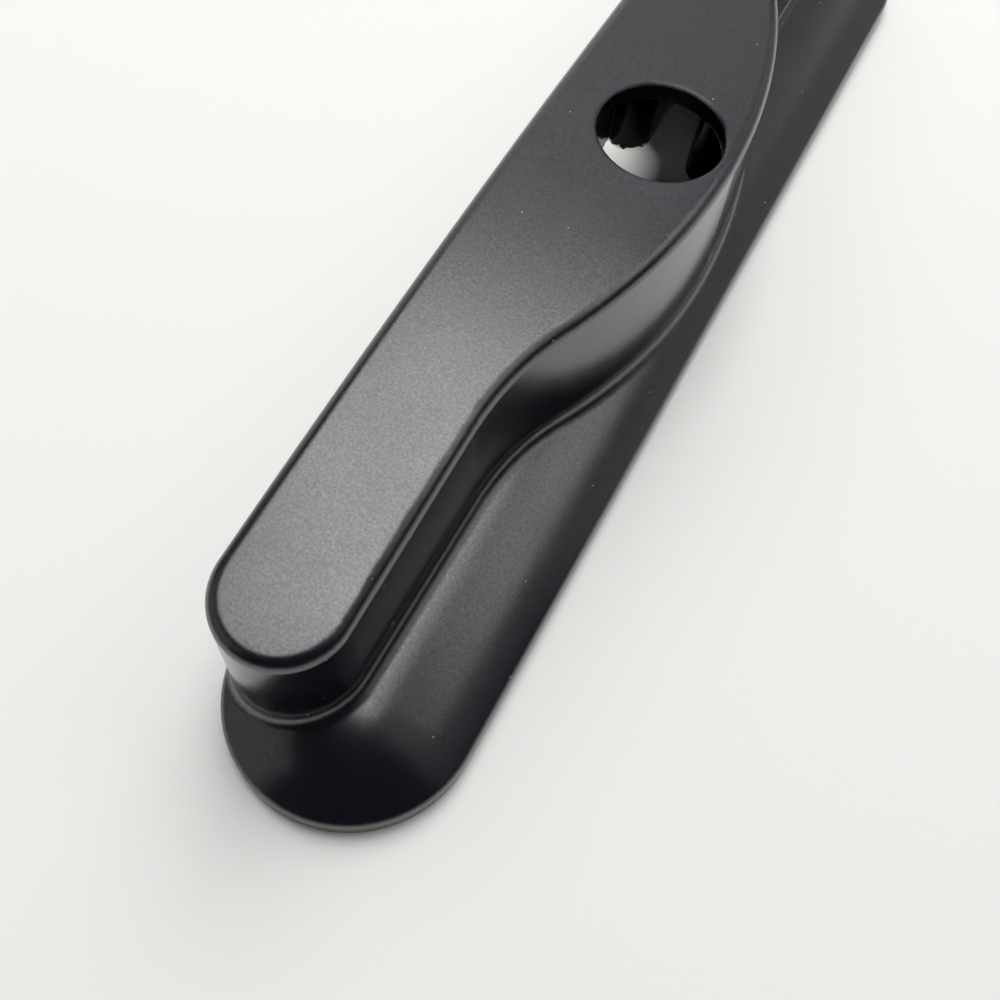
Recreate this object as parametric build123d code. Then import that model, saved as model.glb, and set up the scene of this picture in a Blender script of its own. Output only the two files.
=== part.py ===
"""Patio door handle: one hollow-backed die casting with a wave-edged grip and a round cylinder hole.

Frame, in millimetres: X across the plate, Y along it (up the door), Z out of the door.
The origin is on the hole's axis, in the plane of the back rim.
The far half is modelled first; the near half is its mirror image across the hole.
"""
import os
from math import acos, atan, atan2, cos, degrees, pi, sin, sqrt, tan

from build123d import *

# Plate: oblong with full-round ends and a domed face
LENGTH = 240.0
WIDTH = 40.7
SIDE_HEIGHT = 3.2
DOME_RISE = 7.2
DOME_EDGE_RADIUS = 1.3
FLUSH_STEP = 0.1

# Raised grip: straight and flush on the left, a wave on the right, arched along its length
TOP_HEIGHT = 36.7
TOP_ARCH_RADIUS = 1077.0
GRIP_EDGE_X = 0.4
GRIP_END_CENTRE = 99.0
CREST_X = 13.85
HOLLOW_ARC = 52.5
CREST_ARC = 110.0
WALL_DRAFT = 0.05
TOP_EDGE_RADIUS = 2.0
FOOT_RADIUS = 2.4

# Hole for the lock cylinder
HOLE_RADIUS = 11.0
HOLE_BEVEL = 0.4
FRONT_WALL = 3.4

# Hollow back: a pocket behind the hole, a channel between two shoulders, a hollow grip and ledge
SIDE_WALL = 2.7
SHOULDER_Y = 29.4
SHOULDER_END_Y = 62.0
SHOULDER_ROUND = 4.8
CHANNEL_LEFT = -10.0
CHANNEL_RIGHT = -0.8
LEDGE_HOLLOW_START = 30.0
LEDGE_HOLLOW_END = 104.0
LEDGE_HOLLOW_LOW = 2.4
LEDGE_HOLLOW_HIGH = 7.4

# Screw bosses inside the grips, tapped from the back
BOSS_X = -9.2
BOSS_Y = 84.0
BOSS_RADIUS = 5.0
SCREW_RADIUS = 2.5
SCREW_DEPTH = 14.0

# Helpers for the constructions below
LEFT_X = -WIDTH / 2
WALL_TOP = TOP_HEIGHT - TOP_EDGE_RADIUS
PLATE_HALF = (WIDTH - FLUSH_STEP) / 2
PLATE_SHIFT = FLUSH_STEP / 2
PLATE_CENTRE_Y = LENGTH / 2 - PLATE_HALF
EDGE_CENTRE = PLATE_HALF - DOME_EDGE_RADIUS
CROWN_ROOM = 2 * (DOME_RISE - DOME_EDGE_RADIUS)
CROWN_RADIUS = (EDGE_CENTRE ** 2 + DOME_RISE ** 2 - DOME_EDGE_RADIUS ** 2) / CROWN_ROOM
CROWN_Z = SIDE_HEIGHT + DOME_RISE - CROWN_RADIUS
BELOW = -1.0
ABOVE = TOP_HEIGHT + 5.0
UPWARDS = (Align.CENTER, Align.CENTER, Align.MIN)


def arch_height(y):
    """Height of the top face at distance y from the hole."""
    return TOP_HEIGHT - TOP_ARCH_RADIUS + sqrt(TOP_ARCH_RADIUS ** 2 - y ** 2)


def wave_outline(z, inset, round_end):
    """Far half of the raised outline at height z, moved inwards by a wall thickness."""
    grow = WALL_DRAFT * (WALL_TOP - z) - inset
    left = LEFT_X + inset
    right = GRIP_EDGE_X + grow
    end_radius = (right - left) / 2
    end_tip = ((right + left) / 2, GRIP_END_CENTRE + end_radius)
    turn = acos(1 - (CREST_X - GRIP_EDGE_X) / (HOLLOW_ARC + CREST_ARC))
    crest_radius = CREST_ARC + grow
    crest_x = CREST_X - CREST_ARC
    crest_tip = (crest_x + crest_radius, 0)
    crest_middle = (crest_x + crest_radius * cos(turn / 2), crest_radius * sin(turn / 2))
    join = (crest_x + crest_radius * cos(turn), crest_radius * sin(turn))
    hollow_radius = HOLLOW_ARC - grow
    hollow_x = GRIP_EDGE_X + HOLLOW_ARC
    hollow_y = (HOLLOW_ARC + CREST_ARC) * sin(turn)
    hollow_middle = (hollow_x - hollow_radius * cos(turn / 2), hollow_y - hollow_radius * sin(turn / 2))
    if round_end:
        end = ThreePointArc((right, GRIP_END_CENTRE), end_tip, (left, GRIP_END_CENTRE))
    else:
        end = Line((right, GRIP_END_CENTRE), (left, GRIP_END_CENTRE))
    edges = [
        Line((left, 0), crest_tip),
        ThreePointArc(crest_tip, crest_middle, join),
        ThreePointArc(join, hollow_middle, (right, hollow_y)),
        Line((right, hollow_y), (right, GRIP_END_CENTRE)),
        end,
        Line((left, GRIP_END_CENTRE), (left, 0)),
    ]
    return Pos(0, 0, z) * make_face(edges)


def under_arch(walls, drop, bottom):
    """The part of a solid that lies below the arched top, lowered by drop."""
    reach = LENGTH / 2
    crown = TOP_HEIGHT - drop
    end_height = arch_height(reach) - drop
    side = make_face([
        ThreePointArc((-reach, end_height), (0, crown), (reach, end_height)),
        Polyline((reach, end_height), (reach, bottom), (-reach, bottom), (-reach, end_height)),
    ])
    return walls & extrude(Plane.YZ * side, WIDTH, both=True)


def grip_end():
    """Far end of the raised part: half a leaning cone, upright on the left and drafted on the right."""
    lean = atan(WALL_DRAFT) / 2
    apex_z = WALL_TOP + (GRIP_EDGE_X - LEFT_X) / WALL_DRAFT
    length = apex_z / cos(2 * lean) + TOP_HEIGHT
    cone = Cone(length * tan(lean), 0, length, arc_size=180, align=(Align.NONE, Align.NONE, Align.MAX))
    return Pos(LEFT_X, GRIP_END_CENTRE, apex_z) * Rot(0, -degrees(lean), 0) * cone


def crown_point(x):
    """Point on the dome's large arc, x to the side of the plate's middle, as (x, z)."""
    return x, CROWN_Z + sqrt(CROWN_RADIUS ** 2 - x ** 2)


def dome_section():
    """Right half of the plate's cross-section: a large crown arc that runs into a tight edge arc."""
    turn = atan2(EDGE_CENTRE, SIDE_HEIGHT - CROWN_Z)
    tangent = crown_point(CROWN_RADIUS * sin(turn))
    middle = crown_point(CROWN_RADIUS * sin(turn / 2))
    edge_turn = (turn + pi / 2) / 2
    edge_x = EDGE_CENTRE + DOME_EDGE_RADIUS * sin(edge_turn)
    edge_z = SIDE_HEIGHT + DOME_EDGE_RADIUS * cos(edge_turn)
    return make_face([
        ThreePointArc(crown_point(0), middle, tangent),
        ThreePointArc(tangent, (edge_x, edge_z), (PLATE_HALF, SIDE_HEIGHT)),
        Polyline((PLATE_HALF, SIDE_HEIGHT), (PLATE_HALF, 0), (0, 0), crown_point(0)),
    ])


def oblong_half(section):
    """Far half of an oblong: a cross-section drawn along Y and turned round the far end."""
    upright = Plane.XZ * section
    bar = extrude(upright + mirror(upright, Plane.YZ), PLATE_CENTRE_Y, dir=(0, 1, 0))
    end = Pos(0, PLATE_CENTRE_Y, 0) * revolve(upright, Axis.Z, 180)
    return Pos(PLATE_SHIFT, 0, 0) * (bar + end)


def shoulder(edge_x, side):
    """Round-ended inner shoulder beside the channel."""
    near = SHOULDER_Y + SHOULDER_ROUND
    centre_x = edge_x + side * SHOULDER_ROUND
    length = SHOULDER_END_Y - near
    plan = Pos(centre_x, near) * Circle(SHOULDER_ROUND)
    plan += Pos(centre_x, near + length / 2) * Rectangle(2 * SHOULDER_ROUND, length)
    return extrude(Pos(0, 0, BELOW) * plan, ABOVE)


# Outside of the far half, with the foot and the top edge rounded
plate = oblong_half(dome_section())
walls = loft([wave_outline(BELOW, 0, False), wave_outline(ABOVE, 0, False)], ruled=True)
raised = under_arch(walls + grip_end(), 0, 0)
outside = plate + raised
foot = new_edges(plate, raised, combined=outside).filter_by(lambda edge: (edge @ 0.5).Y > 0.1)
outside = fillet(foot, FOOT_RADIUS)
lowest_top = arch_height(LENGTH / 2) - 1
top_edges = outside.edges().filter_by(
    lambda edge: edge.bounding_box().min.Z > lowest_top and (edge @ 0.5).Y > 0.1)
outside = fillet(top_edges, TOP_EDGE_RADIUS)

# Hollow back of the far half
half_height = TOP_HEIGHT / 2
room = extrude(Pos(0, 0, BELOW - half_height) * wave_outline(half_height, SIDE_WALL, True), ABOVE)
hollow = under_arch(room, FRONT_WALL, BELOW)
hollow -= shoulder(CHANNEL_LEFT, -1)
hollow -= shoulder(CHANNEL_RIGHT, 1)
hollow -= Pos(BOSS_X, BOSS_Y, BELOW) * Cylinder(BOSS_RADIUS, ABOVE, align=UPWARDS)
ledge_side = PLATE_HALF + PLATE_SHIFT - SIDE_WALL
ledge_section = Polyline((LEFT_X, BELOW), (ledge_side, BELOW), (ledge_side, LEDGE_HOLLOW_LOW),
                         (GRIP_EDGE_X, LEDGE_HOLLOW_HIGH), (LEFT_X, LEDGE_HOLLOW_HIGH), close=True)
ledge_length = LEDGE_HOLLOW_END - LEDGE_HOLLOW_START
ledge_hollow = extrude(Plane.XZ * make_face(ledge_section), ledge_length, dir=(0, 1, 0))
ledge_hollow = Pos(0, LEDGE_HOLLOW_START, 0) * ledge_hollow
ledge_hollow -= extrude(Pos(0, 0, BELOW) * wave_outline(0, 0, True), ABOVE)
screw_hole = Pos(BOSS_X, BOSS_Y, BELOW) * Cylinder(SCREW_RADIUS, SCREW_DEPTH - BELOW, align=UPWARDS)
half = outside - hollow - ledge_hollow - screw_hole

# Whole casting with the bevelled cylinder hole
casting = half + mirror(half, Plane.XZ)
casting -= Pos(0, 0, TOP_HEIGHT) * Cylinder(HOLE_RADIUS, 4 * FRONT_WALL)
bevel = Cone(HOLE_RADIUS, HOLE_RADIUS + FRONT_WALL, FRONT_WALL, align=UPWARDS)
casting -= Pos(0, 0, TOP_HEIGHT - HOLE_BEVEL) * bevel

print("casting", casting.is_valid, len(casting.solids()), len(casting.faces()), casting.volume)
print(casting.bounding_box())
os.makedirs("parts", exist_ok=True)
export_step(casting, "parts/handle_casting.step")
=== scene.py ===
"""Looks of the patio door handle: camera at the photo's view, soft studio light and a satin black coat."""
from math import pi

import bpy
from mathutils import Matrix, Vector

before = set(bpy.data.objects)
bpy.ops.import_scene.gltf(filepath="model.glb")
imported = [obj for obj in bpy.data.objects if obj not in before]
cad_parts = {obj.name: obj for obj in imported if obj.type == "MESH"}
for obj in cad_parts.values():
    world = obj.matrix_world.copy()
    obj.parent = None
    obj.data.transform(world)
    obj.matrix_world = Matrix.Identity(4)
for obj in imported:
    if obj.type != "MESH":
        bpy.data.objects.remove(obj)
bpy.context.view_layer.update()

ORIGIN = (0.0, 0.0, 0.0)

# Camera, from the photo's fitted view, in metres
CAMERA_PLACE = Vector((0.03112, -0.13590, 0.16412))
CAMERA_RIGHT = Vector((0.87806, 0.47231, 0.07703))
CAMERA_DOWN = Vector((0.45370, -0.77039, -0.44796))
CAMERA_FORWARD = Vector((-0.15223, 0.42828, -0.89073))
FOCAL_PIXELS = 1055.0
PHOTO_PIXELS = 1000.0
SENSOR_WIDTH = 36.0
CLIP_START = 0.01

# Floor
FLOOR_SIZE = 6.0
FLOOR_COLOUR = (0.90, 0.89, 0.87, 1.0)
FLOOR_ROUGHNESS = 0.7
FLOOR_SPECULAR = 0.2

# Ceiling lamps, which show in the coat: name, x, y, width, length, radiance
CEILING_HEIGHT = 1.0
CEILING_PANELS = [
    ("overhead", -0.155, 0.18, 0.59, 0.60, 3.15),
    ("overhead_edge", -0.155, 0.56, 0.59, 0.16, 1.50),
    ("right_panel", 0.58, 0.62, 0.70, 0.76, 1.22),
    ("near_right_panel", 0.62, 0.02, 0.62, 0.44, 0.24),
    ("low_right_panel", 1.30, 0.35, 0.72, 1.30, 0.16),
    ("far_left_panel", -0.65, 1.43, 1.10, 1.55, 0.53),
    ("far_panel", 0.40, 1.75, 1.00, 1.40, 0.30),
]

# Lamps at the sides, which show in the coat: name, place, width, length, radiance
SIDE_PANELS = [
    ("right_wall", (1.5, 2.1, 0.7), 2.6, 1.5, 0.30),
    ("left_wall", (-1.9, 1.6, 0.7), 2.6, 1.5, 0.65),
    ("near_left_panel", (-1.08, -0.76, 0.75), 1.45, 1.1, 0.29),
]

# Lamps for the floor, which don't show in the coat: name, place, width, length, radiance
FLOOR_LAMPS = [
    ("far_fill", (-0.22, 1.00, 1.1), 0.9, 0.9, 3.3),
    ("top_fill", (-0.10, 0.10, 1.3), 0.6, 0.6, 2.5),
    ("left_fill", (-0.80, 0.15, 0.9), 0.5, 0.5, 1.9),
    ("near_fill", (0.15, -1.10, 1.1), 0.6, 0.6, 1.3),
]

# Row of narrow lamps that shine through the hole on the table under it
BEAM_COUNT = 11
BEAM_START = Vector((0.42, -0.70, 1.0))
BEAM_STEP = Vector((0.03, 0.0, 0.0))
BEAM_TARGET = Vector((0.0, 0.0, 0.035))
BEAM_ANGLE = pi / 180
BEAM_BLEND = 0.2
BEAM_RADIUS = 0.006
BEAM_POWER = 7.5

# Faint light from all round
WORLD_COLOUR = (1.0, 0.99, 0.97, 1.0)
WORLD_STRENGTH = 0.02

# Middle part of a noise, which is stretched to the range that a use needs
NOISE_LOW = 0.3
NOISE_HIGH = 0.7

# Coat; the upright faces have a smaller share of the roughness
COAT_DARK = (0.0035, 0.0038, 0.0085, 1.0)
COAT_LIGHT = (0.0060, 0.0062, 0.0115, 1.0)
COAT_IOR = 2.0
ROUGHNESS_LOW = 0.20
ROUGHNESS_HIGH = 0.27
UPRIGHT_SMOOTH = 0.65
SPECULAR_LOW = 0.41
SPECULAR_HIGH = 0.59
CLOUD_SCALE = 45.0
CLOUD_DETAIL = 3.0
GRAIN_SCALE = 2500.0
GRAIN_DETAIL = 2.0
GRAIN_DEPTH = 0.00002
GRAIN_STRENGTH = 0.4
EDGE_ROUND = 0.0007
EDGE_SAMPLES = 3
DUST_COLOUR = (0.26, 0.255, 0.25, 1.0)
DUST_ROUGHNESS = 0.8
DUST_SCALE = 220.0
DUST_SIZE = 0.034

# Hole for the cylinder, and the softer edge of its rim, in metres
BORE_RADIUS = 0.0112
BORE_TOP = 0.0362
RIM_INNER = 0.0104
RIM_OUTER = 0.0130
RIM_BOTTOM = 0.0345
RIM_ROUND = 0.0010

# Hollow back and the hole's wall, darkened and dulled as painted shade, in metres; its right side falls
# from a crest with the square of y
HOLLOW_TOP = 0.0331
HOLLOW_LEFT = -0.0190
HOLLOW_CREST = 0.0137
HOLLOW_CURVE = 4.9
HOLLOW_LENGTH = 0.062
HOLLOW_SHADE_SPECULAR = 0.03
HOLLOW_SHADE_COLOUR = (0.0020, 0.0022, 0.0024, 1.0)

# Left shoulder: painted light on a wedge low on its channel face, and bare metal along a ragged lower
# edge, in metres
SHOULDER_START = 0.0285
SHOULDER_TANGENT = 0.0340
CHANNEL_LEFT = -0.0104
CHANNEL_FACE = -0.0097
WEDGE_SLOPE = 0.44
WEDGE_DROP = 0.015
RAGGED_SCALE = 700.0
RAGGED_DETAIL = 2.0
RAGGED_HEIGHT = 0.0012
BARE_AND_LIT_COLOUR = (0.72, 0.66, 0.57, 1.0)
BARE_AND_LIT_ROUGHNESS = 0.5


def add_camera():
    """Camera at the photo's viewpoint."""
    data = bpy.data.cameras.new("photo_camera")
    data.sensor_width = SENSOR_WIDTH
    data.lens = SENSOR_WIDTH * FOCAL_PIXELS / PHOTO_PIXELS
    data.clip_start = CLIP_START
    camera = bpy.data.objects.new("photo_camera", data)
    turn = Matrix((CAMERA_RIGHT, -CAMERA_DOWN, -CAMERA_FORWARD)).transposed()
    camera.matrix_world = Matrix.Translation(CAMERA_PLACE) @ turn.to_4x4()
    bpy.context.collection.objects.link(camera)
    bpy.context.scene.camera = camera


def place_lamp(name, data, place, target):
    """Lamp at a place, turned to face its target."""
    lamp = bpy.data.objects.new(name, data)
    lamp.location = place
    aim = Vector(target) - Vector(place)
    lamp.rotation_euler = aim.to_track_quat("-Z", "Y").to_euler()
    bpy.context.collection.objects.link(lamp)
    return lamp


def add_softbox(name, place, target, width, length, radiance):
    """Rectangular lamp of an even brightness."""
    data = bpy.data.lights.new(name, "AREA")
    data.shape = "RECTANGLE"
    data.size = width
    data.size_y = length
    data.energy = radiance * pi * width * length
    return place_lamp(name, data, place, target)


def add_beam(name, place):
    """Narrow lamp that shines through the hole."""
    data = bpy.data.lights.new(name, "SPOT")
    data.energy = BEAM_POWER
    data.spot_size = BEAM_ANGLE
    data.spot_blend = BEAM_BLEND
    data.shadow_soft_size = BEAM_RADIUS
    return place_lamp(name, data, place, BEAM_TARGET)


def add_world():
    """World with a faint, even light."""
    world = bpy.data.worlds.new("studio")
    world.use_nodes = True
    background = world.node_tree.nodes["Background"]
    background.inputs["Color"].default_value = WORLD_COLOUR
    background.inputs["Strength"].default_value = WORLD_STRENGTH
    bpy.context.scene.world = world


def floor_material():
    """Matt white table top."""
    material = bpy.data.materials.new("table_white")
    material.use_nodes = True
    shader = material.node_tree.nodes["Principled BSDF"]
    shader.inputs["Base Color"].default_value = FLOOR_COLOUR
    shader.inputs["Roughness"].default_value = FLOOR_ROUGHNESS
    shader.inputs["Specular IOR Level"].default_value = FLOOR_SPECULAR
    return material


def feed(links, socket, given):
    """Give an input socket another socket's value or a plain value."""
    if isinstance(given, bpy.types.NodeSocket):
        links.new(given, socket)
    else:
        socket.default_value = given


def maths(nodes, links, operation, first, second):
    """Result of a maths node; an input may be a socket or a plain value."""
    node = nodes.new("ShaderNodeMath")
    node.operation = operation
    feed(links, node.inputs[0], first)
    feed(links, node.inputs[1], second)
    return node.outputs["Value"]


def mixed(nodes, links, factor, kind, first, second):
    """Blend of two colours or numbers by a factor; an input may be a socket or a plain value."""
    blend = nodes.new("ShaderNodeMix")
    blend.data_type = kind
    sockets = [socket for socket in blend.inputs if socket.enabled]
    feed(links, sockets[0], factor)
    feed(links, sockets[1], first)
    feed(links, sockets[2], second)
    return [socket for socket in blend.outputs if socket.enabled][0]


def noise(nodes, links, place, scale, detail):
    """Noise texture with a scale per metre, as its value socket."""
    texture = nodes.new("ShaderNodeTexNoise")
    texture.inputs["Scale"].default_value = scale
    texture.inputs["Detail"].default_value = detail
    links.new(place, texture.inputs["Vector"])
    return texture.outputs["Fac"]


def ranged(nodes, links, value, low, high):
    """Middle part of a noise, stretched to run from low to high."""
    stretch = nodes.new("ShaderNodeMapRange")
    stretch.inputs["From Min"].default_value = NOISE_LOW
    stretch.inputs["From Max"].default_value = NOISE_HIGH
    stretch.inputs["To Min"].default_value = low
    stretch.inputs["To Max"].default_value = high
    links.new(value, stretch.inputs["Value"])
    return stretch.outputs["Result"]


def between(nodes, links, value, low, high):
    """1 where a value lies between two limits, 0 elsewhere."""
    above = maths(nodes, links, "GREATER_THAN", value, low)
    below = maths(nodes, links, "LESS_THAN", value, high)
    return maths(nodes, links, "MULTIPLY", above, below)


def split_axes(nodes, links, vector):
    """The x, y and z sockets of a vector socket."""
    split = nodes.new("ShaderNodeSeparateXYZ")
    links.new(vector, split.inputs["Vector"])
    return split.outputs


def facing_up(nodes, links, least):
    """1 on level faces, falling to a least value on upright ones."""
    normal = nodes.new("ShaderNodeNewGeometry").outputs["Normal"]
    upwards = split_axes(nodes, links, normal)["Z"]
    level = maths(nodes, links, "ABSOLUTE", upwards, 0.0)
    share = maths(nodes, links, "MULTIPLY", level, 1.0 - least)
    return maths(nodes, links, "ADD", share, least)


def dust_mask(nodes, links, place):
    """1 on a few small specks, 0 elsewhere."""
    cells = nodes.new("ShaderNodeTexVoronoi")
    cells.inputs["Scale"].default_value = DUST_SCALE
    links.new(place, cells.inputs["Vector"])
    return maths(nodes, links, "LESS_THAN", cells.outputs["Distance"], DUST_SIZE)


def place_masks(nodes, links, place):
    """Masks for the painted shade of the hollow with the hole's wall, and for the hole's rim."""
    x, y, z = split_axes(nodes, links, place)
    along = maths(nodes, links, "MULTIPLY", y, y)
    across = maths(nodes, links, "MULTIPLY", x, x)
    distance = maths(nodes, links, "ADD", across, along)
    bulge = maths(nodes, links, "MULTIPLY", along, -HOLLOW_CURVE)
    right = maths(nodes, links, "ADD", bulge, HOLLOW_CREST)
    pocket = between(nodes, links, x, HOLLOW_LEFT, right)
    under = maths(nodes, links, "LESS_THAN", z, HOLLOW_TOP)
    pocket = maths(nodes, links, "MULTIPLY", pocket, under)
    middle = maths(nodes, links, "LESS_THAN", along, HOLLOW_LENGTH ** 2)
    pocket = maths(nodes, links, "MULTIPLY", pocket, middle)
    bore = maths(nodes, links, "LESS_THAN", distance, BORE_RADIUS ** 2)
    inside = maths(nodes, links, "LESS_THAN", z, BORE_TOP)
    bore = maths(nodes, links, "MULTIPLY", bore, inside)
    hollow_shade = maths(nodes, links, "MAXIMUM", pocket, bore)
    rim = between(nodes, links, distance, RIM_INNER ** 2, RIM_OUTER ** 2)
    upper = maths(nodes, links, "GREATER_THAN", z, RIM_BOTTOM)
    rim = maths(nodes, links, "MULTIPLY", rim, upper)
    return hollow_shade, rim


def bare_and_lit_mask(nodes, links, place):
    """1 on the left shoulder's painted lit wedge and on the bare metal of its ragged lower edge, 0
    elsewhere.
    """
    x, y, z = split_axes(nodes, links, place)
    far = maths(nodes, links, "ABSOLUTE", y, 0.0)
    rise = maths(nodes, links, "MULTIPLY", far, WEDGE_SLOPE)
    rise = maths(nodes, links, "SUBTRACT", rise, WEDGE_DROP)
    low = maths(nodes, links, "LESS_THAN", z, rise)
    face = between(nodes, links, x, CHANNEL_LEFT, CHANNEL_FACE)
    channel = between(nodes, links, far, SHOULDER_TANGENT, HOLLOW_LENGTH)
    face = maths(nodes, links, "MULTIPLY", face, channel)
    lit_wedge = maths(nodes, links, "MULTIPLY", face, low)
    ragged = noise(nodes, links, place, RAGGED_SCALE, RAGGED_DETAIL)
    ragged = ranged(nodes, links, ragged, 0.0, RAGGED_HEIGHT)
    edge = maths(nodes, links, "LESS_THAN", z, ragged)
    front = between(nodes, links, far, SHOULDER_START, SHOULDER_TANGENT)
    side = between(nodes, links, x, HOLLOW_LEFT, CHANNEL_FACE)
    edge = maths(nodes, links, "MULTIPLY", edge, front)
    edge = maths(nodes, links, "MULTIPLY", edge, side)
    return maths(nodes, links, "MAXIMUM", lit_wedge, edge)


def coat_material():
    """Satin black powder coat: fine grain, cloudy gloss, specks of dust, painted shade in the hollow, and
    bare metal with a painted lit wedge on the left shoulder.
    """
    material = bpy.data.materials.new("black_coat_look")
    material.use_nodes = True
    nodes = material.node_tree.nodes
    links = material.node_tree.links
    shader = nodes["Principled BSDF"]
    place = nodes.new("ShaderNodeTexCoord").outputs["Object"]
    cloud = noise(nodes, links, place, CLOUD_SCALE, CLOUD_DETAIL)
    grain = noise(nodes, links, place, GRAIN_SCALE, GRAIN_DETAIL)
    dust = dust_mask(nodes, links, place)
    hollow_shade, rim = place_masks(nodes, links, place)
    bare_and_lit = bare_and_lit_mask(nodes, links, place)
    tone = ranged(nodes, links, cloud, 0.0, 1.0)
    colour = mixed(nodes, links, tone, "RGBA", COAT_DARK, COAT_LIGHT)
    colour = mixed(nodes, links, dust, "RGBA", colour, DUST_COLOUR)
    # Painted shade: the hollow and the hole's wall get a darker colour
    colour = mixed(nodes, links, hollow_shade, "RGBA", colour, HOLLOW_SHADE_COLOUR)
    # Painted light on the left shoulder's channel face wedge, and bare metal along its ragged lower edge
    colour = mixed(nodes, links, bare_and_lit, "RGBA", colour, BARE_AND_LIT_COLOUR)
    links.new(colour, shader.inputs["Base Color"])
    roughness = ranged(nodes, links, cloud, ROUGHNESS_LOW, ROUGHNESS_HIGH)
    smoother = facing_up(nodes, links, UPRIGHT_SMOOTH)
    roughness = maths(nodes, links, "MULTIPLY", roughness, smoother)
    roughness = mixed(nodes, links, dust, "FLOAT", roughness, DUST_ROUGHNESS)
    roughness = mixed(nodes, links, bare_and_lit, "FLOAT", roughness, BARE_AND_LIT_ROUGHNESS)
    links.new(roughness, shader.inputs["Roughness"])
    specular = ranged(nodes, links, grain, SPECULAR_LOW, SPECULAR_HIGH)
    # Painted shade: weaker gloss in the hollow and the hole's wall
    specular = mixed(nodes, links, hollow_shade, "FLOAT", specular, HOLLOW_SHADE_SPECULAR)
    links.new(specular, shader.inputs["Specular IOR Level"])
    rounding = nodes.new("ShaderNodeBevel")
    rounding.samples = EDGE_SAMPLES
    radius = mixed(nodes, links, rim, "FLOAT", EDGE_ROUND, RIM_ROUND)
    links.new(radius, rounding.inputs["Radius"])
    bump = nodes.new("ShaderNodeBump")
    bump.inputs["Strength"].default_value = GRAIN_STRENGTH
    bump.inputs["Distance"].default_value = GRAIN_DEPTH
    links.new(grain, bump.inputs["Height"])
    links.new(rounding.outputs["Normal"], bump.inputs["Normal"])
    links.new(bump.outputs["Normal"], shader.inputs["Normal"])
    shader.inputs["IOR"].default_value = COAT_IOR
    return material


bpy.ops.mesh.primitive_plane_add(size=FLOOR_SIZE, location=ORIGIN)
floor = bpy.context.object
floor.name = "floor"
floor.data.materials.append(floor_material())

add_camera()
for name, x, y, width, length, radiance in CEILING_PANELS:
    add_softbox(name, (x, y, CEILING_HEIGHT), (x, y, 0.0), width, length, radiance)
for name, place, width, length, radiance in SIDE_PANELS:
    add_softbox(name, place, ORIGIN, width, length, radiance)
for name, place, width, length, radiance in FLOOR_LAMPS:
    lamp = add_softbox(name, place, ORIGIN, width, length, radiance)
    lamp.visible_glossy = False
for number in range(BEAM_COUNT):
    lamp = add_beam(f"hole_beam_{number}", BEAM_START + number * BEAM_STEP)
    lamp.visible_glossy = False
add_world()
bpy.context.scene.view_settings.view_transform = "Standard"

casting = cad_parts["handle_casting"]
casting.data.materials.clear()
casting.data.materials.append(coat_material())
